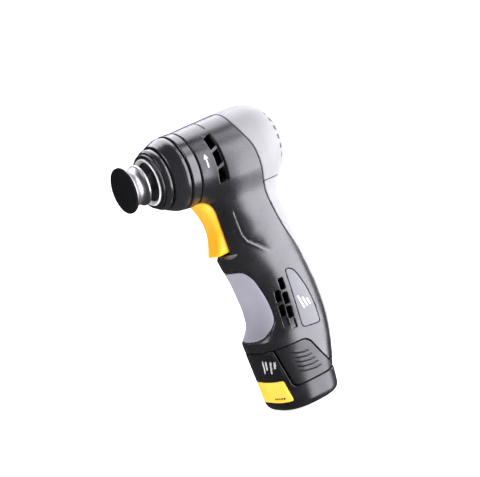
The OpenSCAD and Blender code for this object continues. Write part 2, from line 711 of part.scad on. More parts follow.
// Thin film on the front of the battery, from a lower to an upper edge [height, x of the side edge]
module front_film(lower, upper) {
    intersection() {
        difference() {
            grip_solid(lower[0], upper[0], -0.2);
            grip_solid(lower[0] - 1, upper[0] + 1, -0.04);
        }
        side_prism([[-60, lower[0] - 1], [lower[1], lower[0] - 1], [lower[1], lower[0]], [upper[1], upper[0]],
            [upper[1], upper[0] + 1], [-60, upper[0] + 1]], -far, far);
    }
}
module battery_label() {
    color("#25252b") front_film([22.6, -18.4], [41.8, -21]);
}
module battery_patch() {
    color("orange") front_film([7.4, -17.6], [22.2, -19.7]);
}
module latch() {
    intersection() {
        difference() {
            grip_solid(base_z + seam_gap, seam_z - seam_gap, 0);
            grip_solid(base_z, seam_z, latch_t);
            translate([0, -latch_travel, base_z]) linear_extrude(far) stick_2d(cell_r + 1.1);
        }
        side_prism(concat([for (z = [base_z, seam_z]) [lookup(z, LATCH_FRONT) + 0.3, z]],
            [for (z = [seam_z, SKIRT[1][0], SKIRT[0][0] - 0.4]) [lookup(z, SKIRT) - skirt_gap, z]],
            [[spine_x - 0.4, SKIRT[0][0] - 0.4], [spine_x - 0.4, base_z]]), -far, -3);
    }
    translate([-12.5, -22.2, seam_z - 3]) cube([7, 1.3, 5]);
}
module latch_left() {
    color("#1f1f22") latch();
}
module latch_right() {
    color("#1f1f22") mirror([0, 1, 0]) latch();
}
module latch_springs_left() {
    color("silver") for (z = LATCH_SPRING_Z) translate([latch_spring_x, -19.35, z]) rotate([90, 0, 0])
        coil(1.6, 0.25, 0.8, 2);
}
module latch_springs_right() {
    mirror([0, 1, 0]) latch_springs_left();
}

hook_disc();
pad_holder();
spindle();
planet_carrier();
planet_pins();
front_bearing();
dust_seal();
nose_cup();
nose_lip();
nose_ring();
gear_case();
collar_ring();
ring_gear();
planet_gear_1();
planet_gear_2();
planet_gear_3();
sun_gear();
gearbox_plate();
motor_shaft();
motor_fan();
armature_core();
armature_windings();
commutator();
motor_can();
motor_magnets();
motor_end_cap();
motor_bushings();
motor_brushes();
housing_left();
housing_right();
rear_cap();
back_strap();
front_grip();
side_badges();
arrow_marks();
housing_screws();
trigger();
trigger_spring();
switch_plunger();
switch_body();
control_board();
board_transistors();
terminal_block();
terminal_blades();
battery_base();
battery_case();
battery_cells();
cell_links();
battery_contacts();
battery_label();
battery_patch();
battery_screws();
latch_left();
latch_right();
latch_springs_left();
latch_springs_right();
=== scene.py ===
# Looks of a cordless pistol-grip grinder. The moulded shells are cut from two smooth solids, the
# head and the grip, that blend into each other. Shapes are worked out in millimetres and turned
# into metres when a mesh is made. +Z is up, the spindle points along -X, the left side is -Y.
# A solid is a function of x, y and z that gives the distance to its surface, negative inside.
import functools
import json
import math

import bpy
import numpy as np
from mathutils import Matrix, Vector


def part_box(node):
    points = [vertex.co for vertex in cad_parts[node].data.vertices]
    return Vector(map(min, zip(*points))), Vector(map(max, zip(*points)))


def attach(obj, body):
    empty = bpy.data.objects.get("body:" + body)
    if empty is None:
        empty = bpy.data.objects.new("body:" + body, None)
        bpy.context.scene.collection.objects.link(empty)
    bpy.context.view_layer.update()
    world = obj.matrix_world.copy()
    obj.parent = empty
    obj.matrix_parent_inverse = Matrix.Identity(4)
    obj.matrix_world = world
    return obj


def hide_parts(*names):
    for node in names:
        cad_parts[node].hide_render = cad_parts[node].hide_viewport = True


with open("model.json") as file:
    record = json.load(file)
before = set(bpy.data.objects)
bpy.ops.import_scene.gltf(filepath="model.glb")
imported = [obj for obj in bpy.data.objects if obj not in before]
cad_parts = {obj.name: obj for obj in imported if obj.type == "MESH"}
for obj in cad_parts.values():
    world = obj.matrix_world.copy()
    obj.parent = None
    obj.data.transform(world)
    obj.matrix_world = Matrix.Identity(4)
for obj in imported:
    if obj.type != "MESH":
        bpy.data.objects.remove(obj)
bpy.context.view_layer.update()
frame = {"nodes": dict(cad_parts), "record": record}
MM = 0.001


def span(node):
    """Lowest and highest corner of a CAD node, in millimetres."""
    low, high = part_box(node)
    return np.array(low) / MM, np.array(high) / MM


# ---------------------------------------------------------------- sizes taken from the frame
holder_low, holder_high = span("pad_holder")
disc_low, disc_high = span("hook_disc")
trigger_low, trigger_high = span("trigger")
cells_low, cells_high = span("battery_cells")
core_low, core_high = span("battery_case")
latch_low, latch_high = span("latch_left")
AXIS_Z = (holder_low[2] + holder_high[2]) / 2
# Where the handle ends on the battery, above the underside of the battery's inner case
FOOT_RISE = 27.15
SEAM_Z = core_low[2] + FOOT_RISE
LATCH_GAP = 0.3
BASE_Z = latch_low[2] - LATCH_GAP

# Head: a slightly tapered barrel with a rounded dome behind it
HEAD_R = 28.2
HEAD_FRONT_R = 24.8
HEAD_FRONT_X = -30.8
DOME_X = 19.0
HEAD_REAR_X = span("rear_cap")[1][0]
DOME_POWER = 2.2

# Grip, foot and battery: height, front x, rear x, half width, corner power
STATIONS = (
    (0, -17.8, 18.8, 17.4, 2.6), (0.5, -19.6, 20.6, 19.2, 2.6), (1.6, -21.4, 22.4, 21, 2.7),
    (3.4, -22.6, 23.6, 22.2, 2.8), (6, -23.2, 24.2, 22.8, 2.8), (16, -23.6, 25.2, 23.1, 2.8),
    (25, -24.2, 28, 23.2, 2.8), (35, -24.9, 31.3, 23.2, 2.8), (43.2, -25.5, 33.6, 23.1, 2.8),
    (48.7, -26, 34.7, 23, 2.8), (52, -24.3, 35.4, 22.8, 2.7), (56, -20.8, 35.7, 22.6, 2.6),
    (62, -18.6, 36, 22.3, 2.5), (70, -18.2, 36, 21.8, 2.5), (80, -19.2, 35.6, 20.9, 2.5),
    (92, -21, 34.6, 19.6, 2.5), (104, -24.2, 33, 18.5, 2.5), (113, -25.4, 31.6, 17.9, 2.6),
    (121, -24.3, 30.6, 17.8, 2.7), (130, -24, 29.8, 17.9, 2.8), (140, -23.5, 29, 18.6, 2.8),
    (150, -23, 29.5, 20.5, 2.8), (158, -22.5, 31, 22.2, 2.8))
# Side seam between the charcoal halves and the grey strap and cap: height, x
SEAM = ((20, 22), (42, 25.7), (52, 27), (64, 28), (72, 28), (80, 27.3), (90, 26.2), (99, 25.2),
        (107, 23), (114, 20.4), (130, 16.2), (146, 13.4), (157, 12.4), (166, 11.2), (175, 9.2),
        (183, 6.2), (191, 4.1))
# Front edge of the skirt that the handle hangs behind the battery, and of the side latches
SKIRT = ((23, 16.4), (29, 12.3), (43.2, 4.8))
LATCH_FRONT = ((15, -14.6), (45, -19.6))
# Side-view outlines, x and z
GRIP_EDGE = ((-60, 101), (-19, 98.5), (-14.4, 91), (-12.5, 83), (-11, 75), (-10.5, 67.5),
             (-11.2, 60.5), (-15.5, 55.5), (-20, 52.5), (-26, 50), (-60, 49.6))
BADGE_EDGE = ((7.3, 89.4), (10.5, 89.3), (13.2, 87.4), (15.3, 83), (18, 73.5), (19.3, 64),
              (19.6, 56.5), (19.2, 48.4), (4, 50.2))
ARROW = ((-0.6, -4.6), (0.6, -4.6), (0.6, 1.2), (1.8, 1.2), (0, 4.6), (-1.8, 1.2), (-0.6, 1.2))
# Crease in front of the thumb rest, from its top end: x and z of its line, how deep and wide its
# step is, how far the step runs out, the ridge in front of it, and the parts where it fades
CREASE = ((-13.8, 141), (-13.6, 134), (-12.8, 127.5), (-12.2, 121), (-10.2, 116), (-4.8, 111.5),
          (0, 107), (3.2, 102.7))
CREASE_DEPTH, CREASE_RUN_OUT = 2.0, 6
CREASE_EDGE = (-0.4, 0.7)
RIDGE_TALL, RIDGE_AWAY, RIDGE_WIDE = 0.4, 1.5, 1.2
CREASE_FADE_IN, CREASE_FADE_OUT = (0.02, 0.35), (0.6, 0.99)
# Flat chamfers of the handle beside the trigger, and the heights between which they come and go
CHAMFER_TURN = math.radians(32)
CHAMFER_REACH, CHAMFER_LIFT = 22.95, 4
CHAMFER_FADE_IN, CHAMFER_FADE_OUT = (104, 111), (146, 156)
# Windows of the head: middle x, width, half their height, their angles round the axis, how they
# lean and skew with the angle, and the pocket round them
WINDOW_X, WINDOW_WIDE, WINDOW_HALF_TALL = -16.7, 5.4, 4.6
WINDOW_ANGLES = (27.5, 1.5, -24.5)
WINDOW_LEAN, WINDOW_SKEW, WINDOW_INNER_R = 0.012, 0.9, 20
POCKET_MARGIN, POCKET_HALF_TALL, RIB_DEPTH, GROOVE_DEPTH = 0.45, 16.9, 0.45, 1.8
# Upright slots of the handle: x, z and height of each. The blind ones are shallow.
GRIP_VENTS = ((0.9, 81.9, 7.6), (0.1, 72.2, 7.6), (-0.7, 62.9, 7.6), (-4.3, 75, 7.6), (-5, 65.4, 7.6))
BLIND_VENTS = ((-1.3, 55.1, 6), (-5.8, 57.4, 6))
VENT_LEAN, VENT_HALF_WIDE, BLIND_DEPTH, VENT_INNER_Y = 0.085, 1.9, 1.3, 12
# Short line pressed into the top of the head: x, middle angle and half its length in degrees,
# how long a degree is there, its radius and its depth
MARK_X, MARK_ANGLE, MARK_HALF_ANGLE = -14, 62, 12
MARK_DEGREE, MARK_R, MARK_DEPTH = 0.45, 0.3, 0.4
ARROW_X, ARROW_Z = -25.0, AXIS_Z + 1
# Screws that clamp the halves: x and z, where the heads sit, and the posts round them
SCREWS = ((-4, 195), (-14.8, 104), (17.3, 112), (23.5, 82), (-4.5, 147.3))
SCREW_HEAD_Y, SCREW_HOLE_R, POST_R, POST_FLOOR = 9.0, 3.0, 4.2, 1.2
WALL = 2.2
BLEND = 11.0
HANDLE_TOP_ROUND = 14
GAP = 0.17
SEAM_GAP = 0.3
# Cosines that turn a distance along x into one across a slanted edge
SEAM_COS, SKIRT_COS, LATCH_COS, TRIGGER_COS, FILM_COS = 0.95, 0.9, 0.986, 0.92, 0.97
# Seats in the housing: bore for the gear case, depth of the grip pad and of the badge
NOSE_SEAT_R, PAD_DEPTH, BADGE_DEPTH, BADGE_INNER_Y = 22.6, 1.5, 0.9, 10
# How far the pad stands proud, how far the badge lies below the skin, and the badge's lower face
PAD_PROUD, BADGE_SUNK, BADGE_BACK = 0.1, 0.03, 0.85
# Slanted bars of the badge: the first one's x and z, the step to the next, lean, half width, half
# height of the first and how much shorter each next one is
BADGE_BARS, BAR_X, BAR_Z, BAR_STEP_X, BAR_STEP_Z = 3, 9.6, 66, 2.9, -0.8
BAR_LEAN, BAR_HALF_WIDE, BAR_HALF_TALL, BAR_SHRINK = 0.22, 0.75, 4.6, 1.1
# Where the cap meets the strap, and where the strap and the skirt end
CAP_CUT_Z, STRAP_END_Z = 149.0, 23
# Trigger: front x at its top, depth of the finger hollow, how much further back its lower end is,
# the straight lip at both ends, how much its front is crowned and at which y, and its room
TRIGGER_FRONT_X, TRIGGER_HOLLOW, TRIGGER_LEAN = -31.2, 5, 1
TRIGGER_LIP, TRIGGER_CROWN, TRIGGER_CROWN_Y = 0.8, 0.35, 8
TRIGGER_TRAVEL_ROOM, TRIGGER_SIDE_ROOM, TRIGGER_END_ROOM = 5.4, 0.3, 1
# Cap slots: their angle apart, middle x and radius of the slots, and half their width and length
CAP_SLOT_STEP, CAP_SLOT_X, CAP_SLOT_R = 15, 32.5, 23.5
CAP_SLOT_HALF_WIDE, CAP_SLOT_HALF_LONG, CAP_SLOT_INNER_R = 1.6, 1.3, 12
# Battery: side edges of the printed films as lower and upper height with x at each, the rear
# spine, the depth of the inner case behind the skin, the room for the skirt and its lowest part,
# and the contact tower with its slots
LABEL_EDGE = ((22.6, -18.4), (41.8, -21))
PATCH_EDGE = ((7.4, -17.6), (22.2, -19.7))
SPINE_X, CORE_INSET, SKIRT_ROOM, SKIRT_END_Z = 22.8, 3.6, 0.9, 22.6
SEAM_ROOM = 0.35
TOWER_X, TOWER_HALF = 1, 8
CONTACT_SLOT_X, CONTACT_SLOT_Y, CONTACT_SLOT_HALF = (-4, 6), 4.5, 1.4
# Print on the films: y of the first block and the step to the next, middle height, lean, half
# width, and for the label half the height and the drop of each block
LABEL_BLOCK_Y, LABEL_BLOCK_STEP, LABEL_BLOCK_Z = -15.5, 2.9, 33.5
LABEL_BLOCK_LEAN, LABEL_BLOCK_HALF_WIDE = 0.25, 0.7
LABEL_BLOCKS = ((2.4, 0), (4.2, 1.2), (3.2, -0.6), (4.6, 0.4))
PATCH_BLOCKS, PATCH_BLOCK_Y, PATCH_BLOCK_STEP, PATCH_BLOCK_Z = 5, -13.6, 1.9, 10.2
PATCH_BLOCK_HALF_WIDE, PATCH_BLOCK_HALF_TALL = 0.65, 0.7
PRINT_PROUD = 0.24
CELL_R = (cells_high[1] - cells_low[1]) / 4
CELL_TOP, CASE_WALL, CELL_ROOM, CELL_END_ROOM = 1.8, 0.9, 0.05, 0.4
FRONT_CELL_X = cells_low[0] + CELL_R
REAR_CELL_X = cells_high[0] - CELL_R
CELLS = ((FRONT_CELL_X, 0), (REAR_CELL_X, -CELL_R), (REAR_CELL_X, CELL_R))
# Latches: thickness, travel, how far the plate lies below the skin, and its room round the cells
LATCH_T, LATCH_TRAVEL, LATCH_INSET, LATCH_CELL_ROOM, LATCH_INNER_Y = 1.8, 1.5, 0.25, 1.15, 3
# Ribs of a latch: x and z of the top one's front and rear end, the steps to the next one, how much
# they bow, and how tall and wide they are
RIBS, RIB_BOW, RIB_TALL, RIB_WIDE = 5, 0.9, 0.75, 0.8
RIB_FRONT, RIB_FRONT_STEP = (-9.6, 38.0), (0.45, -3.35)
RIB_REAR, RIB_REAR_STEP = (2.2, 35.2), (1.55, -3.2)


# ---------------------------------------------------------------- curves and outlines
def smooth_curve(points):
    """Function through the points (place, value) without overshoot, level beyond its ends."""
    place, value = np.array(points, float).T
    step, rise = np.diff(place), np.diff(value)
    pace = rise / step
    slope = np.zeros(len(place))
    slope[0], slope[-1] = pace[0], pace[-1]
    for i in range(1, len(place) - 1):
        if pace[i - 1] * pace[i] > 0:
            near, far = 2 * step[i] + step[i - 1], step[i] + 2 * step[i - 1]
            slope[i] = (near + far) / (near / pace[i - 1] + far / pace[i])

    def at(x):
        x = np.clip(x, place[0], place[-1])
        k = np.clip(np.searchsorted(place, x, side="right") - 1, 0, len(step) - 1)
        t = (x - place[k]) / step[k]
        return (value[k] * (1 + 2 * t) * (1 - t) ** 2 + value[k + 1] * t * t * (3 - 2 * t)
                + step[k] * t * (1 - t) * (slope[k] * (1 - t) - slope[k + 1] * t))
    return at


def rounded_outline(points, radius, steps=4):
    """The closed outline with each corner turned into an arc-like curve."""
    p = np.array(points, float)
    out = []
    for i in range(len(p)):
        a, b, c = p[i - 1], p[i], p[(i + 1) % len(p)]
        before, after = a - b, c - b
        reach = min(radius, 0.45 * np.linalg.norm(before), 0.45 * np.linalg.norm(after))
        start = b + before / np.linalg.norm(before) * reach
        end = b + after / np.linalg.norm(after) * reach
        for t in np.linspace(0, 1, steps):
            out.append((1 - t) ** 2 * start + 2 * t * (1 - t) * b + t * t * end)
    return np.array(out)


def flat_shape(points):
    """Signed distance to a closed outline in the x, z plane, negative inside."""
    a = np.array(points, float)
    b = np.roll(a, -1, 0)

    def distance(x, z):
        x, z = np.broadcast_arrays(x, z)
        nearest = np.full(x.shape, 1e9)
        inside = np.zeros(x.shape, bool)
        for (ax, az), (bx, bz) in zip(a, b):
            ex, ez = bx - ax, bz - az
            t = np.clip(((x - ax) * ex + (z - az) * ez) / (ex * ex + ez * ez + 1e-12), 0, 1)
            nearest = np.minimum(nearest, (x - ax - t * ex) ** 2 + (z - az - t * ez) ** 2)
            if az != bz:
                inside ^= ((az > z) != (bz > z)) & (x < ax + ex * (z - az) / ez)
        return np.where(inside, -1, 1) * np.sqrt(nearest)
    return distance


def smax(a, b, k):
    """The larger of two distances, with the edge between them rounded."""
    h = np.maximum(k - np.abs(a - b), 0) / k
    return np.maximum(a, b) + h * h * k / 4


def smin(a, b, k):
    return -smax(-a, -b, k)


def join(shapes):
    """Distance to the nearest of the shapes."""
    return functools.reduce(np.minimum, shapes)


def overlap(*shapes):
    """Distance to what all the shapes share."""
    return functools.reduce(np.maximum, shapes)


def ease(x, start, end):
    t = np.clip((x - start) / (end - start), 0, 1)
    return t * t * (3 - 2 * t)


def slab(low, value, high):
    """Distance to the space between two planes, negative inside."""
    return np.maximum(low - value, value - high)


def round_box(dx, dy, half_x, half_y, corner):
    """Distance to a rectangle with round corners."""
    qx, qy = np.abs(dx) - half_x + corner, np.abs(dy) - half_y + corner
    return np.hypot(np.maximum(qx, 0), np.maximum(qy, 0)) + np.minimum(np.maximum(qx, qy), 0) - corner


# ---------------------------------------------------------------- the solids that everything is cut from
OUTLINE = [smooth_curve([(s[0], s[k]) for s in STATIONS]) for k in (1, 2, 3, 4)]
seam_x = smooth_curve(SEAM)
skirt_x = smooth_curve(SKIRT)


def grip(x, y, z):
    """Distance to the outline of grip, foot and battery, which has no ends."""
    front, rear, half, power = (curve(z) for curve in OUTLINE)
    deep = (rear - front) / 2
    u, v = np.abs(x - (rear + front) / 2) / deep, np.abs(y) / half
    q = u ** power + v ** power + 1e-9
    slope = q ** (1 / power - 1) * np.hypot(u ** (power - 1) / deep, v ** (power - 1) / half)
    return (q ** (1 / power) - 1) / np.maximum(slope, 1e-3)


def head(x, y, z):
    r = np.hypot(y, z - AXIS_Z)
    forward = np.maximum(DOME_X - x, 0) / (DOME_X - HEAD_FRONT_X)
    barrel = HEAD_R - (HEAD_R - HEAD_FRONT_R) * forward ** 1.2
    back = np.maximum((x - DOME_X) / (HEAD_REAR_X - DOME_X), 0)
    return (((r / barrel) ** DOME_POWER + back ** DOME_POWER) ** (1 / DOME_POWER) - 1) * barrel


def crease(x, z):
    """Depth of the thumb rest: a step along the crease that runs out to the rear."""
    p = np.array(CREASE, float)
    x, z = np.broadcast_arrays(x, z)
    near, side, run = np.full(x.shape, 1e9), np.zeros(x.shape), np.zeros(x.shape)
    for i in range(len(p) - 1):
        (ax, az), (ex, ez) = p[i], p[i + 1] - p[i]
        t = np.clip(((x - ax) * ex + (z - az) * ez) / (ex * ex + ez * ez), 0, 1)
        dx, dz = x - ax - t * ex, z - az - t * ez
        d = np.hypot(dx, dz)
        closer = d < near
        near = np.where(closer, d, near)
        side = np.where(closer, np.where(ex * dz - ez * dx > 0, d, -d), side)
        run = np.where(closer, (i + t) / (len(p) - 1), run)
    fade = ease(run, *CREASE_FADE_IN) * (1 - ease(run, *CREASE_FADE_OUT))
    step = CREASE_DEPTH * ease(side, *CREASE_EDGE) * np.exp(-np.maximum(side, 0) / CREASE_RUN_OUT)
    return fade * (step - RIDGE_TALL * np.exp(-((side + RIDGE_AWAY) / RIDGE_WIDE) ** 2))


def body(x, y, z):
    """Smooth outer skin of head and handle."""
    handle = grip(x, y, z)
    chamfer = -x * math.cos(CHAMFER_TURN) + np.abs(y) * math.sin(CHAMFER_TURN) - CHAMFER_REACH
    near_trigger = ease(z, *CHAMFER_FADE_IN) * (1 - ease(z, *CHAMFER_FADE_OUT))
    handle = smax(handle, chamfer - CHAMFER_LIFT * (1 - near_trigger), 0.5) + crease(x, z)
    handle = smax(handle, z - AXIS_Z, HANDLE_TOP_ROUND)
    return smin(head(x, y, z), handle, BLEND)


def behind_seam(x, z):
    """Negative on the grey side of the side seam."""
    return (seam_x(z) - x) * SEAM_COS + SEAM_GAP


def above_battery(x, z):
    """Negative in the handle and in the skirt that it hangs behind the battery."""
    return smin(SEAM_Z - z, (skirt_x(z) - x) * SKIRT_COS, 5)


def hollow(skin):
    """Wall behind the outer skin."""
    return smax(skin, -skin - WALL, 0.5)


def charcoal_side(x, z):
    """Negative in front of the seam to the grey strap and cap, and above the battery."""
    front = (x - seam_x(z)) * SEAM_COS + SEAM_GAP
    low = np.maximum(above_battery(x, z), STRAP_END_Z - z)
    return smax(smax(front, low, 0.6), HEAD_FRONT_X - x, 0.6)


grip_outline = flat_shape(rounded_outline(GRIP_EDGE, 5))
badge_outline = flat_shape(rounded_outline(BADGE_EDGE, 2.5, 3))


def upright_slot(x, z, place):
    dz = z - place[1]
    return round_box(x - place[0] - VENT_LEAN * dz, dz, VENT_HALF_WIDE, place[2] / 2, 0.6)


def head_windows(x, r, angle, skin):
    """Windows of the head's side, the lower ribs between them and the groove behind them."""
    arc = r * math.pi / 180
    middle = WINDOW_ANGLES[1]
    along = x - WINDOW_X + (angle - middle) * WINDOW_LEAN
    skew = (x - WINDOW_X) * WINDOW_SKEW
    windows = join(round_box(along, (angle - turn - skew) * arc, WINDOW_WIDE / 2, WINDOW_HALF_TALL, 0.9)
                   for turn in WINDOW_ANGLES)
    pocket = round_box(along - POCKET_MARGIN, (angle - middle) * arc, WINDOW_WIDE / 2 + POCKET_MARGIN,
                       POCKET_HALF_TALL, 1.3)
    groove = overlap(pocket, WINDOW_WIDE / 2 - 0.1 - along, -skin - GROOVE_DEPTH)
    return join((np.maximum(windows, WINDOW_INNER_R - r), np.maximum(pocket, -skin - RIB_DEPTH), groove))


def handle_slots(x, y, z, skin):
    """Open and blind slots of the handle's sides."""
    inner = VENT_INNER_Y - np.abs(y)
    slots = join(upright_slot(x, z, place) for place in GRIP_VENTS)
    blind = join(upright_slot(x, z, place) for place in BLIND_VENTS)
    return np.minimum(np.maximum(slots, inner), smax(np.maximum(blind, inner), -skin - BLIND_DEPTH, 0.3))


def side_openings(x, y, z, skin):
    """What is cut out of a housing half: windows, slots and shallow recesses."""
    r = np.hypot(y, z - AXIS_Z)
    angle = np.degrees(np.arctan2(z - AXIS_Z, np.abs(y)))
    pad_seat = np.maximum(grip_outline(x, z) - GAP, -skin - PAD_DEPTH)
    badge_seat = overlap(badge_outline(x, z) - GAP, -skin - BADGE_DEPTH, BADGE_INNER_Y - np.abs(y))
    past_end = np.maximum(np.abs(angle - MARK_ANGLE) - MARK_HALF_ANGLE, 0) * MARK_DEGREE
    mark = np.maximum(np.hypot(x - MARK_X, past_end) - MARK_R, -skin - MARK_DEPTH)
    return join((head_windows(x, r, angle, skin), handle_slots(x, y, z, skin), pad_seat, badge_seat, mark))


def screw_posts(x, y, z, skin):
    """Posts inside the right half that hold the screw heads."""
    posts = join(np.hypot(x - sx, z - sz) for sx, sz in SCREWS) - POST_R
    return overlap(posts, SCREW_HEAD_Y - POST_FLOOR - y, skin + 0.5)


def screw_holes(x, y, z):
    holes = join(np.hypot(x - sx, z - sz) for sx, sz in SCREWS) - SCREW_HOLE_R
    return np.maximum(holes, SCREW_HEAD_Y - y)


def trigger_opening(x, y, z):
    tall = slab(trigger_low[2] - TRIGGER_END_ROOM, z, trigger_high[2] + TRIGGER_END_ROOM)
    return overlap(tall, np.abs(y) - trigger_high[1] - TRIGGER_SIDE_ROOM,
                   x - trigger_high[0] - TRIGGER_TRAVEL_ROOM)


def housing(side):
    """Housing half on the side -1 (left) or 1 (right)."""
    def solid(x, y, z):
        skin = body(x, y, z)
        shell = hollow(skin)
        if side > 0:
            shell = smin(shell, screw_posts(x, y, z, skin), 0.4)
        shell = smax(shell, charcoal_side(x, z), 0.7)
        shell = smax(shell, 0.06 - side * y, 0.3)
        nose_seat = np.maximum(np.hypot(y, z - AXIS_Z) - NOSE_SEAT_R, x - DOME_X)
        shell = smax(shell, -nose_seat, 0.4)
        shell = smax(shell, -trigger_opening(x, y, z), 0.8)
        shell = smax(shell, -side_openings(x, y, z, skin), 0.5)
        return smax(shell, -screw_holes(x, y, z), 0.4) if side > 0 else shell
    return solid


def rear_shell(x, y, z):
    return smax(hollow(body(x, y, z)), behind_seam(x, z), 0.5)


def cap(x, y, z):
    shell = smax(rear_shell(x, y, z), CAP_CUT_Z + GAP - z, 0.6)
    r, angle = np.hypot(y, z - AXIS_Z), np.degrees(np.arctan2(z - AXIS_Z, y))
    turn = (angle + CAP_SLOT_STEP / 2) % CAP_SLOT_STEP - CAP_SLOT_STEP / 2
    along = ((x - CAP_SLOT_X) - (r - CAP_SLOT_R)) * math.sqrt(0.5)
    slot = round_box(turn * math.pi / 180 * r, along, CAP_SLOT_HALF_WIDE, CAP_SLOT_HALF_LONG, 0.6)
    return smax(shell, -np.maximum(slot, CAP_SLOT_INNER_R - r), 0.3)


def strap(x, y, z):
    shell = smax(rear_shell(x, y, z), z - CAP_CUT_Z + GAP, 0.6)
    return smax(shell, STRAP_END_Z - z, 0.5)


def front_grip(x, y, z):
    skin = body(x, y, z) - PAD_PROUD
    return smax(smax(skin, -skin - PAD_DEPTH, 0.3), grip_outline(x, z) + GAP, 0.9)


def badge(x, y, z):
    skin = body(x, y, z)
    plate = smax(skin + BADGE_SUNK, -skin - BADGE_BACK, 0.15)
    return smax(smax(plate, badge_outline(x, z) + GAP, 0.3), y + BADGE_INNER_Y, 0.2)


def badge_bar(x, z, i):
    dx, dz = x - BAR_X - BAR_STEP_X * i, z - BAR_Z - BAR_STEP_Z * i
    return round_box(dx + BAR_LEAN * dz, dz, BAR_HALF_WIDE, BAR_HALF_TALL - BAR_SHRINK * i, 0.5)


def badge_mark(x, y, z):
    """Plain slanted bars on the badge."""
    skin = body(x, y, z)
    bars = join(badge_bar(x, z, i) for i in range(BADGE_BARS))
    return overlap(skin - 0.06, -skin - 0.5, bars, y + BADGE_INNER_Y)


def label_block(y, z, i):
    half_tall, drop = LABEL_BLOCKS[i]
    dy, dz = y - LABEL_BLOCK_Y - LABEL_BLOCK_STEP * i, z - LABEL_BLOCK_Z + drop
    return round_box(dy + LABEL_BLOCK_LEAN * dz, dz, LABEL_BLOCK_HALF_WIDE, half_tall, 0.5)


def label_mark(x, y, z):
    """Plain slanted blocks that stand for the print on the battery's label."""
    skin = grip(x, y, z)
    blocks = join(label_block(y, z, i) for i in range(len(LABEL_BLOCKS)))
    return overlap(skin - PRINT_PROUD, -skin, blocks, x)


def patch_print(x, y, z):
    """Row of small blocks along the lower edge of the orange patch."""
    skin = grip(x, y, z)
    blocks = join(round_box(y - PATCH_BLOCK_Y - PATCH_BLOCK_STEP * i, z - PATCH_BLOCK_Z,
                            PATCH_BLOCK_HALF_WIDE, PATCH_BLOCK_HALF_TALL, 0.3)
                  for i in range(PATCH_BLOCKS))
    return overlap(skin - PRINT_PROUD, -skin, blocks, x)


arrow_outline = flat_shape([(x + ARROW_X, z + ARROW_Z) for x, z in ARROW])


def arrow(x, y, z):
    skin = body(x, y, z)
    return overlap(skin - 0.05, -skin - 0.6, arrow_outline(x, z), y)


def in_front_of_latch(x, z):
    """Negative in front of the latches' slanted front edge."""
    (z0, x0), (z1, x1) = LATCH_FRONT
    return (x - x0 - (x1 - x0) * (z - z0) / (z1 - z0)) * LATCH_COS


def battery_base(x, y, z):
    skin = np.maximum(grip(x, y, z), slab(0, z, SEAM_Z - SEAM_ROOM))
    region = smin(z - BASE_Z, in_front_of_latch(x, z) + 0.45, 3.0)
    return smax(skin, region, 1.3)


def film(edge):
    """Thin printed film on the battery's front, between its two side edges."""
    (z0, x0), (z1, x1) = edge
    region = flat_shape(rounded_outline([(-60, z0), (x0, z0), (x1, z1), (-60, z1)], 1.2))

    def solid(x, y, z):
        skin = grip(x, y, z)
        return smax(smax(skin - 0.17, -skin - 0.6, 0.2), region(x, z) * FILM_COS, 0.25)
    return solid


stick_outline = flat_shape(CELLS)


def battery_core(x, y, z):
    """Inner case with the bores of the cells, the tower with its contact slots, and the spine."""
    low_z, high_z = core_low[2], core_high[2]
    stick_top = cells_high[2] + CELL_TOP
    stick = smax(stick_outline(x, y) - CELL_R - CASE_WALL, slab(low_z, z, stick_top), 0.8)
    skin = grip(x, y, z)
    walls = np.maximum(skin + CORE_INSET, slab(low_z, z, SEAM_Z - SEAM_ROOM))
    walls = smax(walls, 0.4 - in_front_of_latch(x, z), 0.6)
    skirt = overlap(skirt_x(z) - x - SKIRT_ROOM, SKIRT_END_Z - z, z - SEAM_Z)
    walls = smax(walls, -skirt, 0.5)
    spine = smax(overlap(skin, slab(low_z, z, SKIRT_END_Z), SPINE_X - x), skin + 0.02, 0.4)
    tower = np.maximum(np.abs(x - TOWER_X), np.abs(y)) - TOWER_HALF
    tower = smax(tower, slab(stick_top - 1, z, high_z), 0.8)
    solid = join((smin(stick, walls, 1.0), spine, tower))
    bores = join(np.hypot(x - cx, y - cy) for cx, cy in CELLS) - CELL_R - CELL_ROOM
    solid = np.maximum(solid, -np.maximum(bores, z - cells_high[2] - CELL_END_ROOM))
    slots = overlap(slab(CONTACT_SLOT_X[0], x, CONTACT_SLOT_X[1]),
                    np.abs(np.abs(y) - CONTACT_SLOT_Y) - CONTACT_SLOT_HALF, stick_top + 0.5 - z)
    return smax(solid, -slots, 0.3)


def latch_rib(x, z, k):
    """Distance to one rib's bowed line, stretched so that the rib fades towards its ends."""
    ax, az = RIB_FRONT[0] + RIB_FRONT_STEP[0] * k, RIB_FRONT[1] + RIB_FRONT_STEP[1] * k
    bx, bz = RIB_REAR[0] + RIB_REAR_STEP[0] * k, RIB_REAR[1] + RIB_REAR_STEP[1] * k
    t = np.clip((x - ax) / (bx - ax), 0, 1)
    line = az + (bz - az) * t - RIB_BOW * t * (1 - t)
    past_end = np.maximum(np.abs(x - (ax + bx) / 2) - (bx - ax) / 2, 0)
    taper = ease(t, 0, 0.25) * (1 - ease(t, 0.7, 1))
    return np.hypot(z - line, past_end) / (0.35 + 0.65 * taper)


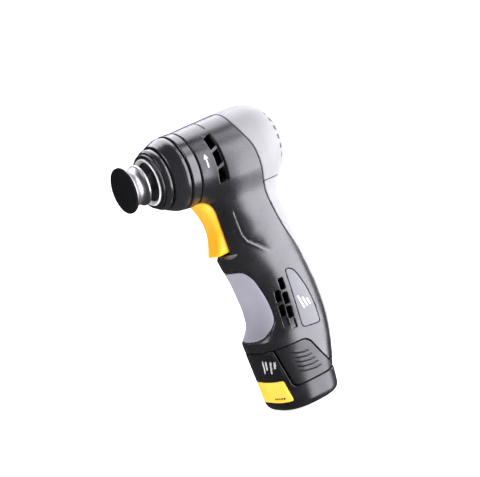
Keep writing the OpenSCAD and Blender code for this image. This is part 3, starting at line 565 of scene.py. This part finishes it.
def latch(x, y, z):
    """Left latch: a ribbed plate between the base, the skirt and the rear spine."""
    skin = grip(x, y, z)
    region = smax(0.6 - in_front_of_latch(x, z), BASE_Z + SEAM_ROOM - z, 3.4)
    house = np.maximum(above_battery(x, z), SKIRT_END_Z - z)
    region = smax(smax(region, SEAM_ROOM - house, 1.0), x - latch_high[0], 0.6)
    ribs = join(latch_rib(x, z, k) for k in range(RIBS))
    raised = RIB_TALL * np.exp(-(ribs / RIB_WIDE) ** 2)
    plate = smax(skin - raised + LATCH_INSET, -skin - LATCH_T, 0.6)
    # Room for the cells' case when the latch is pressed
    case = CELL_R + LATCH_CELL_ROOM - stick_outline(x, y + LATCH_TRAVEL)
    plate = smax(plate, case, 0.2)
    return smax(smax(plate, region, 0.7), y + LATCH_INNER_Y, 0.4)


def trigger(x, y, z):
    low, high = trigger_low, trigger_high
    u = np.clip((high[2] - TRIGGER_LIP - z) / (high[2] - low[2] - 2 * TRIGGER_LIP), 0, 1)
    face = TRIGGER_FRONT_X + TRIGGER_HOLLOW * np.sin(math.pi * u) + TRIGGER_LEAN * u
    solid = smax((face - x) * TRIGGER_COS, x - high[0], 1.2)
    solid = smax(solid, slab(low[2], z, high[2]), 1.6)
    crown = TRIGGER_CROWN * (y / TRIGGER_CROWN_Y) ** 2
    return smax(solid + crown, np.abs(y) - high[1], 3.2)


# ---------------------------------------------------------------- meshes
ON_AXIS = 1e-6


def gradient(f, p, step=0.02):
    base = f(*p.T)
    g = np.stack([f(*(p + step * np.eye(3)[k]).T) - base for k in range(3)], 1) / step
    return base, g


def grid_line(low, high, cell, zones):
    """Places from low to high, cell apart, or closer inside the zones (start, end, cell)."""
    places = [low]
    while places[-1] < high:
        inside = [fine for start, end, fine in zones if start <= places[-1] < end]
        places.append(places[-1] + min(inside, default=cell))
    return np.array(places)


def pull_to_surface(f, p, reach):
    """The points moved onto the zero level of f, at most reach in each of three steps."""
    for _ in range(3):
        value, g = gradient(f, p)
        move = (value / np.maximum((g * g).sum(1), 0.2))[:, None] * g
        length = np.linalg.norm(move, axis=1, keepdims=True)
        p = p - move * np.minimum(1, reach / np.maximum(length, 1e-9))
    return p


def surface_net(f, low, high, cell, fine=((), (), ())):
    """Closed mesh on the zero level of f: (points, four-sided faces, normals)."""
    axes = [grid_line(low[k], high[k], cell, fine[k]) for k in range(3)]
    n = np.array([len(line) for line in axes])
    v = np.broadcast_to(f(*np.ix_(*axes)), n)
    cells = tuple(n - 1)
    count = np.zeros(np.prod(cells))
    total = np.zeros((len(count), 3))
    faces = []
    for a in range(3):
        b, c = (a + 1) % 3, (a + 2) % 3
        here, there = [slice(None)] * 3, [slice(None)] * 3
        here[a], there[a] = slice(0, -1), slice(1, None)
        at = np.argwhere((v[tuple(here)] < 0) != (v[tuple(there)] < 0))
        at = at[(at[:, b] > 0) & (at[:, b] < n[b] - 1) & (at[:, c] > 0) & (at[:, c] < n[c] - 1)]
        to = at.copy()
        to[:, a] += 1
        v0, v1 = v[tuple(at.T)], v[tuple(to.T)]
        point = np.stack([axes[k][at[:, k]] for k in range(3)], 1)
        point[:, a] += (axes[a][to[:, a]] - point[:, a]) * v0 / (v0 - v1)
        ring = []
        for db, dc in ((-1, -1), (0, -1), (0, 0), (-1, 0)):
            q = at.copy()
            q[:, b] += db
            q[:, c] += dc
            flat = np.ravel_multi_index(tuple(q.T), cells)
            ring.append(flat)
            count += np.bincount(flat, minlength=len(count))
            for k in range(3):
                total[:, k] += np.bincount(flat, weights=point[:, k], minlength=len(count))
        ring = np.stack(ring, 1)
        outward = v0 >= 0
        ring[outward] = ring[outward][:, ::-1]
        faces.append(ring)
    faces = np.concatenate(faces)
    used = np.flatnonzero(count)
    renumber = np.zeros(len(count), int)
    renumber[used] = np.arange(len(used))
    faces = renumber[faces]
    p = pull_to_surface(f, total[used] / count[used, None], 0.4 * cell)
    _, g = gradient(f, p, 0.05)
    return p, faces, g / np.maximum(np.linalg.norm(g, axis=1, keepdims=True), 1e-9)


def make_piece(name, points, faces, normals, body_name, slot, *nodes):
    """Mesh object in metres that rides on a body and stands for CAD nodes."""
    mesh = bpy.data.meshes.new(name)
    mesh.from_pydata((np.asarray(points) * MM).tolist(), [], np.asarray(faces).tolist())
    mesh.validate()
    mesh.shade_smooth()
    mesh.normals_split_custom_set_from_vertices(np.asarray(normals, float).tolist())
    piece = bpy.data.objects.new(name, mesh)
    bpy.context.scene.collection.objects.link(piece)
    mesh.materials.append(MATERIALS[slot])
    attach(piece, body_name)
    if nodes:
        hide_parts(*nodes)
    return piece


def net_round(f, node, margin, cell):
    """Mesh of f within a margin round the box of a CAD node."""
    low, high = span(node)
    return surface_net(f, low - margin, high + margin, cell)


def mirrored(points, faces, normals):
    flip = np.array([1, -1, 1])
    return points * flip, faces[:, ::-1], normals * flip


def make_pair(name, mesh, slot, *nodes):
    """The same piece on both sides of the housing; the left one stands for the CAD nodes."""
    make_piece(name + "_left", *mesh, "housing", slot, *nodes)
    make_piece(name + "_right", *mirrored(*mesh), "housing", slot)


def round_corners(profile, bevel):
    """Closed profile of (x, radius) with its corners rounded, and a normal at each point."""
    p = np.array(profile, float)
    points, normals = [], []
    for i in range(len(p)):
        a, b, c = p[i - 1], p[i], p[(i + 1) % len(p)]
        before, after = (b - a) / np.linalg.norm(b - a), (c - b) / np.linalg.norm(c - b)
        reach = min(bevel, 0.4 * np.linalg.norm(b - a), 0.4 * np.linalg.norm(c - b))
        if b[1] < ON_AXIS:
            along = after if c[1] > ON_AXIS else before
            points.append(b)
            normals.append((-along[1], along[0]))
            continue
        for t in np.linspace(0, 1, 5):
            points.append(b - before * reach * (1 - t) ** 2 + after * reach * t * t)
            along = before * (1 - t) + after * t
            normals.append((-along[1], along[0]))
    points, normals = np.array(points), np.array(normals, float)
    return points, normals / np.linalg.norm(normals, axis=1, keepdims=True)


def turned(values, segments):
    """Pairs of (x, radius) swept round the x axis: one ring of points for each segment."""
    turn = (np.arange(segments) * 2 * math.pi / segments)[:, None]
    along, out = values[None, :, 0], values[None, :, 1]
    return np.stack([np.repeat(along, segments, 0), out * np.cos(turn), out * np.sin(turn)], 2)


def lathe(name, profile, bevel, body_name, slot, *nodes, segments=160):
    """Turned piece about the head's axis from a closed profile of (x, radius)."""
    points, normals = round_corners(profile, bevel)
    following = np.roll(points, -1, 0)
    area = np.sum(points[:, 0] * following[:, 1] - following[:, 0] * points[:, 1])
    xyz = turned(points, segments) + (0, 0, AXIS_Z)
    nrm = turned(normals * (-1 if area > 0 else 1), segments)
    m = len(points)
    faces = []
    for s in range(segments):
        for j in range(m):
            k, after = (j + 1) % m, (s + 1) % segments
            if points[j][1] < ON_AXIS and points[k][1] < ON_AXIS:
                continue
            quad = [s * m + j, s * m + k, after * m + k, after * m + j]
            faces.append(quad if area > 0 else quad[::-1])
    return make_piece(name, xyz.reshape(-1, 3), faces, nrm.reshape(-1, 3), body_name, slot, *nodes)


# ---------------------------------------------------------------- materials
DRIFT_LOW, DRIFT_HIGH = 0.3, 0.7
FINE_GRAIN, FINE_DEPTH = 1500, 0.00001


def put(tree, kind, inputs):
    """New shader node with its inputs linked to a socket or set to a value."""
    node = tree.nodes.new("ShaderNode" + kind)
    for name, value in inputs.items():
        if isinstance(value, bpy.types.NodeSocket):
            tree.links.new(value, node.inputs[name])
        else:
            node.inputs[name].default_value = value
    return node


def noise(tree, place, scale, detail):
    return put(tree, "TexNoise", {"Vector": place, "Scale": scale, "Detail": detail}).outputs["Fac"]


def ramp(tree, source, low, high, first, last):
    """Colour that goes from first to last while the source goes from low to high."""
    node = put(tree, "ValToRGB", {"Fac": source})
    for stop, place, colour in zip(node.color_ramp.elements, (low, high), (first, last)):
        stop.position, stop.color = place, (*colour, 1)
    return node.outputs["Color"]


def between(tree, source, low, high):
    """Value from low to high that follows the drift."""
    node = put(tree, "MapRange", {"Value": source, "From Min": DRIFT_LOW, "From Max": DRIFT_HIGH,
                                  "To Min": low, "To Max": high})
    return node.outputs["Result"]


def round_the_axis(tree, place):
    """Place as x and the distance from the head's axis, for marks that a lathe leaves."""
    apart = put(tree, "SeparateXYZ", {0: place})
    above = put(tree, "Math", {0: apart.outputs["Z"], 1: AXIS_Z * MM})
    above.operation = "SUBTRACT"
    across = put(tree, "CombineXYZ", {"X": apart.outputs["Y"], "Y": above.outputs[0]})
    radius = put(tree, "VectorMath", {0: across.outputs[0]})
    radius.operation = "LENGTH"
    joined = put(tree, "CombineXYZ", {"X": apart.outputs["X"], "Y": radius.outputs["Value"]})
    return joined.outputs[0]


def across_the_piece(tree, place):
    """Place as x and z, for marks that run across the piece."""
    apart = put(tree, "SeparateXYZ", {0: place})
    return put(tree, "CombineXYZ", {"X": apart.outputs["X"], "Y": apart.outputs["Z"]}).outputs[0]


def build_material(name, colour, second, roughness, metallic=0.0, grain=(FINE_GRAIN, FINE_DEPTH),
                   mottle=40, spread=0.06, coat=0.0, sheen=0.0, specular=0.5, glow=0.0, style="plain"):
    """Procedural finish: two close colours and a roughness that drift, and a fine surface grain.
    grain is (grains per metre, depth in metres); mottle is the drift's scale per metre."""
    material = bpy.data.materials.new(name)
    material.use_nodes = True
    tree = material.node_tree
    shader = tree.nodes["Principled BSDF"]
    settings = {"Metallic": metallic, "Specular IOR Level": specular, "Coat Weight": coat,
                "Coat Roughness": 0.08, "Sheen Weight": sheen, "Sheen Roughness": 0.45,
                "Emission Color": (1, 1, 1, 1), "Emission Strength": glow}
    for setting, value in settings.items():
        shader.inputs[setting].default_value = value
    place = put(tree, "TexCoord", {}).outputs["Object"]
    drift = noise(tree, place, mottle, 3)
    tone = ramp(tree, drift, DRIFT_LOW, DRIFT_HIGH, colour, second)
    if style == "hooks":
        height = put(tree, "TexVoronoi", {"Vector": place, "Scale": grain[0]}).outputs["Distance"]
        tone = ramp(tree, height, 0.05, 0.6, second, colour)
    else:
        marks = {"turned": round_the_axis, "brushed": across_the_piece}
        source = marks[style](tree, place) if style in marks else place
        height = noise(tree, source, grain[0], 2)
    bump = put(tree, "Bump", {"Distance": grain[1], "Strength": 1.0, "Height": height})
    rough = between(tree, drift, roughness - spread, roughness + spread)
    tree.links.new(tone, shader.inputs["Base Color"])
    tree.links.new(rough, shader.inputs["Roughness"])
    tree.links.new(bump.outputs["Normal"], shader.inputs["Normal"])
    return material


def grey(v, tint=(1, 1, 1)):
    return tuple(v * t for t in tint)


def two_greys(first, second, tint=(1, 1, 1)):
    """The two colours of a grey finish."""
    return dict(colour=grey(first, tint), second=grey(second, tint))


COOL = (0.92, 0.95, 1.08)
LAVENDER = (0.97, 0.95, 1.1)
WARM = (1.02, 1, 1)
SILVER = (0.97, 0.98, 1.04)
FINISHES = {
    # Metals
    "polished_steel": dict(two_greys(0.3, 0.38), roughness=0.38, metallic=1.0,
                           grain=(2500, 0.00001), mottle=120, spread=0.05, style="turned"),
    "bright_steel": dict(two_greys(0.93, 0.97), roughness=0.25, metallic=0.15,
                         grain=(2500, 0.000005), mottle=120, spread=0.05, style="turned"),
    "steel": dict(two_greys(0.35, 0.45), roughness=0.34, metallic=1.0,
                  grain=(3000, 0.000008), style="brushed"),
    "gear_steel": dict(colour=(0.33, 0.31, 0.29), second=(0.42, 0.4, 0.37), roughness=0.42,
                       metallic=1.0, grain=(4000, 0.00001)),
    "copper": dict(colour=(0.5, 0.2, 0.07), second=(0.62, 0.28, 0.1), roughness=0.3,
                   metallic=1.0, grain=(2500, 0.00006), style="brushed"),
    "brass": dict(colour=(0.7, 0.5, 0.2), second=(0.78, 0.58, 0.26), roughness=0.28,
                  metallic=1.0, grain=(3000, 0.000006)),
    "magnet": dict(two_greys(0.03, 0.05), roughness=0.6, grain=(2500, 0.00005)),
    # Pad and nose
    "hook_pad": dict(two_greys(0.004, 0.012, COOL), roughness=0.9, specular=0.08,
                     grain=(1500, 0.00012), style="hooks"),
    "nose_black": dict(two_greys(0.005, 0.008, COOL), roughness=0.34, grain=(5000, 0.00001)),
    "nose_grey": dict(two_greys(0.009, 0.013, COOL), roughness=0.25, specular=0.75,
                      grain=(6000, 0.00001)),
    # Housing
    "housing_plastic": dict(two_greys(0.008, 0.012, COOL), roughness=0.26, specular=0.75,
                            grain=(4200, 0.000022), mottle=55),
    "grey_rubber": dict(two_greys(0.21, 0.24, WARM), roughness=0.5, grain=(4000, 0.00002),
                        sheen=0.1),
    "grip_rubber": dict(two_greys(0.27, 0.31, LAVENDER), roughness=0.55, grain=(3800, 0.00003),
                        sheen=0.1),
    "badge": dict(two_greys(0.09, 0.13, SILVER), roughness=0.34, metallic=0.1,
                  grain=(4500, 0.000008), mottle=70),
    "white_mark": dict(two_greys(0.58, 0.66), roughness=0.5, grain=(4000, 0.00001)),
    "trigger_orange": dict(colour=(0.9, 0.42, 0.003), second=(0.94, 0.5, 0.006), roughness=0.36,
                           grain=(4200, 0.000015)),
    # Inside
    "inner_plastic": dict(two_greys(0.004, 0.007), roughness=0.65, specular=0.15,
                          grain=(4000, 0.00002)),
    "light_plastic": dict(colour=(0.55, 0.52, 0.46), second=(0.62, 0.6, 0.54), roughness=0.45,
                          grain=(4000, 0.00001)),
    "board": dict(colour=(0.004, 0.06, 0.02), second=(0.008, 0.1, 0.035), roughness=0.3,
                  grain=(1200, 0.00003), mottle=300, coat=0.4),
    # Battery
    "battery_plastic": dict(two_greys(0.007, 0.011, COOL), roughness=0.25,
                            grain=(5200, 0.000007), mottle=60),
    "latch_plastic": dict(two_greys(0.007, 0.011, COOL), roughness=0.3,
                          grain=(4800, 0.00001), mottle=60),
    "cell_wrap": dict(colour=(0.02, 0.09, 0.3), second=(0.03, 0.13, 0.4), roughness=0.25,
                      grain=(900, 0.00002), coat=0.4),
    "label": dict(two_greys(0.006, 0.009, COOL), roughness=0.28, grain=(3000, 0.000005)),
    "label_orange": dict(colour=(0.93, 0.6, 0.03), second=(0.97, 0.76, 0.12), roughness=0.34,
                         grain=(3000, 0.000005), mottle=30),
}
MATERIALS = {name: build_material(name, **finish) for name, finish in FINISHES.items()}
MATERIALS["floor"] = build_material("floor", **two_greys(0.86, 0.89), roughness=0.8,
                                    grain=(300, 0.00001), mottle=3, glow=0.85)


# ---------------------------------------------------------------- pieces
low, high = span("housing_left")
# Closer grid lines at the windows and the slots, as (start, end, cell) along x, y and z
FINE_ZONES = (((-22, 4, 0.42),), ((-29, -17, 0.5), (17, 29, 0.5)), ((49, 88, 0.45), (154, 193, 0.5)))
half = surface_net(housing(-1), low - 1.2, (high[0] + 1.5, 1.2, high[2] + 1.2), 0.8, FINE_ZONES)
make_piece("shell_left", *half, "housing", "housing_plastic", "housing_left")
half = surface_net(housing(1), (low[0] - 1.2, -1.2, low[2] - 1.2),
                   (high[0] + 1.5, 1.2 - low[1], high[2] + 1.2), 0.8, FINE_ZONES)
make_piece("shell_right", *half, "housing", "housing_plastic", "housing_right")
make_piece("rear_dome", *net_round(cap, "rear_cap", 1.5, 0.7), "housing", "grey_rubber", "rear_cap")
low, high = span("back_strap")
band = surface_net(strap, low - (3, 1.5, 1.5), high + 1.5, 0.8)
make_piece("strap", *band, "housing", "grey_rubber", "back_strap")
pad = net_round(front_grip, "front_grip", 1.2, 0.55)
make_piece("grip_pad", *pad, "housing", "grip_rubber", "front_grip")
low, high = span("side_badges")
plate = surface_net(badge, low - 0.8, (high[0] + 0.8, -BADGE_INNER_Y, high[2] + 0.8), 0.4)
make_pair("badge", plate, "badge", "side_badges")
make_pair("badge_mark", surface_net(badge_mark, (5, -24, 59), (19, -15, 73), 0.25), "white_mark")
low, high = span("arrow_marks")
plate = surface_net(arrow, low - 0.6, (high[0] + 0.6, 0, high[2] + 0.6), 0.25)
make_pair("arrow", plate, "white_mark", "arrow_marks")

finger = net_round(trigger, "trigger", 1.2, 0.6)
make_piece("finger_trigger", *finger, "trigger", "trigger_orange", "trigger")

shell = net_round(battery_base, "battery_base", 1.2, 0.75)
make_piece("battery_shell", *shell, "battery", "battery_plastic", "battery_base")
latch_end = (latch_high[0] + 1.2, -LATCH_INNER_Y, latch_high[2] + 1.2)
plate = surface_net(latch, latch_low - 1.2, latch_end, 0.5)
make_piece("latch_plate_left", *plate, "latch_left", "latch_plastic", "latch_left")
make_piece("latch_plate_right", *mirrored(*plate), "latch_right", "latch_plastic", "latch_right")
label = net_round(film(LABEL_EDGE), "battery_label", 0.9, 0.32)
make_piece("battery_film", *label, "battery", "label", "battery_label")
patch = net_round(film(PATCH_EDGE), "battery_patch", 0.9, 0.32)
make_piece("battery_band", *patch, "battery", "label_orange", "battery_patch")
blocks = surface_net(label_mark, (-28, -20, 26), (-16, -3, 40), 0.25)
make_piece("film_print", *blocks, "battery", "white_mark")
blocks = surface_net(patch_print, (-27, -17, 8.5), (-20, -3, 12), 0.2)
make_piece("band_print", *blocks, "battery", "label")
core = net_round(battery_core, "battery_case", 1, 0.8)
make_piece("battery_core", *core, "battery", "inner_plastic", "battery_case")

# Turned pieces of the pad and the nose: profiles of x and radius about the head's axis
disc_x, disc_r = (disc_low[0], disc_high[0]), disc_high[1]
disc = [(disc_x[0], 0), (disc_x[0], disc_r), (disc_x[1], disc_r), (disc_x[1], 0)]
lathe("hook_face", disc, 0.6, "spindle", "hook_pad", "hook_disc")

WAIST_R, HUB_FRONT_R, HUB_REAR_R, STUD_R = 11.6, 14.3, 13.2, 3.02
HUB_FRONT_RIM, HUB_REAR_RIM, WAIST_STEPS = 0.8, 1.4, 16
hub_x0, hub_x1 = holder_low[0], holder_high[0]
waist_deep = (HUB_FRONT_R + HUB_REAR_R) / 2 - WAIST_R
hub = [(hub_x0, STUD_R), (hub_x0, HUB_FRONT_R)]
for i in range(WAIST_STEPS + 1):
    u = i / WAIST_STEPS
    hub.append((hub_x0 + HUB_FRONT_RIM + (hub_x1 - HUB_REAR_RIM - hub_x0 - HUB_FRONT_RIM) * u,
                HUB_FRONT_R + (HUB_REAR_R - HUB_FRONT_R) * u - waist_deep * math.sin(math.pi * u) ** 0.8))
hub += [(hub_x1, HUB_REAR_R), (hub_x1, STUD_R)]
lathe("hub", hub, 0.3, "spindle", "polished_steel", "pad_holder")

BOSS_R, CUP_INNER_R, CUP_BACK_X, RING_BACK_X, CASE_REAR_X = 15.4, 12.8, -53.05, -50.3, -38.8
seal = [(-54.4, 5.6), (-54.4, 9.6), (-55.6, CUP_INNER_R - 0.1), (CUP_BACK_X, CUP_INNER_R - 0.1),
        (CUP_BACK_X, 5.6)]
lathe("seal_ring", seal, 0.25, "housing", "nose_black", "dust_seal")
cup = [(CUP_BACK_X, CUP_INNER_R), (-55.9, CUP_INNER_R), (-57.1, 14.2), (-57.4, 14.7), (-57.4, 15),
       (-57.1, BOSS_R), (CUP_BACK_X, BOSS_R)]
lathe("dish", cup, 0.4, "housing", "bright_steel", "nose_cup")
lip = [(RING_BACK_X, BOSS_R + 0.1), (-56.4, BOSS_R + 0.1), (-56.7, 15.9), (-56.5, 17.3),
       (-55.9, 17.9), (RING_BACK_X, 17.9)]
lathe("lip_ring", lip, 0.3, "housing", "nose_black", "nose_lip")
ring = [(RING_BACK_X, 17.95), (-54.4, 17.95), (-54.3, 18.7), (-52.5, 19.9), (-51.7, 20.1),
        (RING_BACK_X, 20.1)]
lathe("step_ring", ring, 0.35, "housing", "nose_grey", "nose_ring")
cone = [(-53, 6.2), (-53, BOSS_R), (-50.25, BOSS_R), (-50.25, 18.6), (-49.1, 18.6), (-49.1, 20.8),
        (-48.7, 21.3), (-46, 22.6), (-42.6, 24), (-41.2, 24.35), (CASE_REAR_X - 0.6, 24.4),
        (CASE_REAR_X, 23.9), (CASE_REAR_X, 22.8), (-31.1, 22.8), (-31.1, 22.4), (-27, 22.4),
        (-27, 20.55), (-44.7, 20.55), (-44.7, 8.02), (-50, 8.02), (-50, 6.2)]
lathe("gear_cone", cone, 0.5, "housing", "nose_grey", "gear_case")
collar = [(-37.9, 22.9), (-37.9, 24.3), (-37.4, 24.8), (-32, 24.85), (-31.5, 24.4), (-31.5, 22.9)]
lathe("collar", collar, 0.5, "housing", "nose_grey", "collar_ring")

# CAD nodes that stay keep their shape and take the finish of their slot
for part in frame["record"]["subparts"]:
    node = frame["nodes"][part["node"]]
    node.data.materials.clear()
    node.data.materials.append(MATERIALS[part["material_slot"]])

# ---------------------------------------------------------------- floor, light and camera
AZIMUTH, ELEVATION, ROLL = math.radians(-120.587), math.radians(6.034), math.radians(19.045)
FLOOR_NEAR, FLOOR_FAR, SWEEP_R, WALL_TOP, FLOOR_HALF_WIDE = -3.0, 1.0, 1.2, 3.5, 4
forward = Vector((-math.cos(AZIMUTH), -math.sin(AZIMUTH), 0))
sideways = Vector((-forward.y, forward.x, 0))
# The floor runs away from the camera and bends up into a wall: distance and height
profile = [(FLOOR_NEAR, 0.0), (FLOOR_FAR, 0.0)]
profile += [(FLOOR_FAR + SWEEP_R * math.sin(a), SWEEP_R * (1 - math.cos(a)))
            for a in np.linspace(0.1, math.pi / 2, 14)]
profile += [(FLOOR_FAR + SWEEP_R, WALL_TOP)]
points = [forward * d + sideways * w + Vector((0, 0, h))
          for d, h in profile for w in (-FLOOR_HALF_WIDE, FLOOR_HALF_WIDE)]
strips = [(2 * i, 2 * i + 1, 2 * i + 3, 2 * i + 2) for i in range(len(profile) - 1)]
sweep = bpy.data.meshes.new("floor")
sweep.from_pydata([tuple(p) for p in points], [], strips)
sweep.shade_smooth()
floor = bpy.data.objects.new("floor", sweep)
bpy.context.scene.collection.objects.link(floor)
sweep.materials.append(MATERIALS["floor"])
# Half of the key light stands below the floor, which neither shades it nor shows in reflections
floor.visible_glossy = False
floor.visible_shadow = False

world = bpy.data.worlds.new("studio")
bpy.context.scene.world = world
world.use_nodes = True
# A dim room for the light, and a white backdrop where the camera looks past the floor
ROOM_LIGHT, BACKDROP_LIGHT = 0.1, 1.0
backdrop = world.node_tree.nodes["Background"]
backdrop.inputs["Color"].default_value = (1, 1, 1, 1)
seen = put(world.node_tree, "LightPath", {}).outputs["Is Camera Ray"]
strength = put(world.node_tree, "MapRange", {"Value": seen, "To Min": ROOM_LIGHT, "To Max": BACKDROP_LIGHT})
world.node_tree.links.new(strength.outputs["Result"], backdrop.inputs["Strength"])
bpy.context.scene.view_settings.view_transform = "Standard"


LIGHT_COLOUR = (0.97, 0.96, 1.05)
MIDDLE = (0, 0, 0.11)


def soft_light(name, place, aim, size, power):
    data = bpy.data.lights.new(name, "AREA")
    data.shape = "RECTANGLE"
    data.size, data.size_y = size
    data.energy = power
    data.color = LIGHT_COLOUR
    light = bpy.data.objects.new(name, data)
    light.location = place
    light.rotation_euler = (Vector(aim) - Vector(place)).to_track_quat("-Z", "Y").to_euler()
    bpy.context.scene.collection.objects.link(light)


soft_light("key", (0.71, -0.71, 0.0), (0, 0, 0.0), (0.95, 1.5), 35)
soft_light("top", (0.3, 0.42, 0.95), MIDDLE, (1.0, 0.9), 15)
soft_light("fill", (0.62, -0.5, 0.85), MIDDLE, (0.5, 0.5), 4)
soft_light("rear", (1.0, 0.25, 0.3), MIDDLE, (0.5, 0.8), 3)
soft_light("front", (-0.9, -0.1, 0.75), MIDDLE, (0.5, 0.5), 5)

AIM = Vector((-0.0057, 0, 0.1173))
DISTANCE = 0.7497
away = Vector((math.cos(ELEVATION) * math.cos(AZIMUTH), math.cos(ELEVATION) * math.sin(AZIMUTH),
               math.sin(ELEVATION)))
level_up = (Vector((0, 0, 1)) - away * away.z).normalized()
level_right = level_up.cross(away)
up = level_up * math.cos(ROLL) + level_right * math.sin(ROLL)
right = up.cross(away)
lens = bpy.data.cameras.new("camera")
lens.lens, lens.sensor_width = 85, 36
lens.clip_start = 0.01
camera = bpy.data.objects.new("camera", lens)
turn = Matrix((right, up, away)).transposed().to_4x4()
camera.matrix_world = Matrix.Translation(AIM + away * DISTANCE) @ turn
bpy.context.scene.collection.objects.link(camera)
bpy.context.scene.camera = camera

bpy.context.view_layer.update()
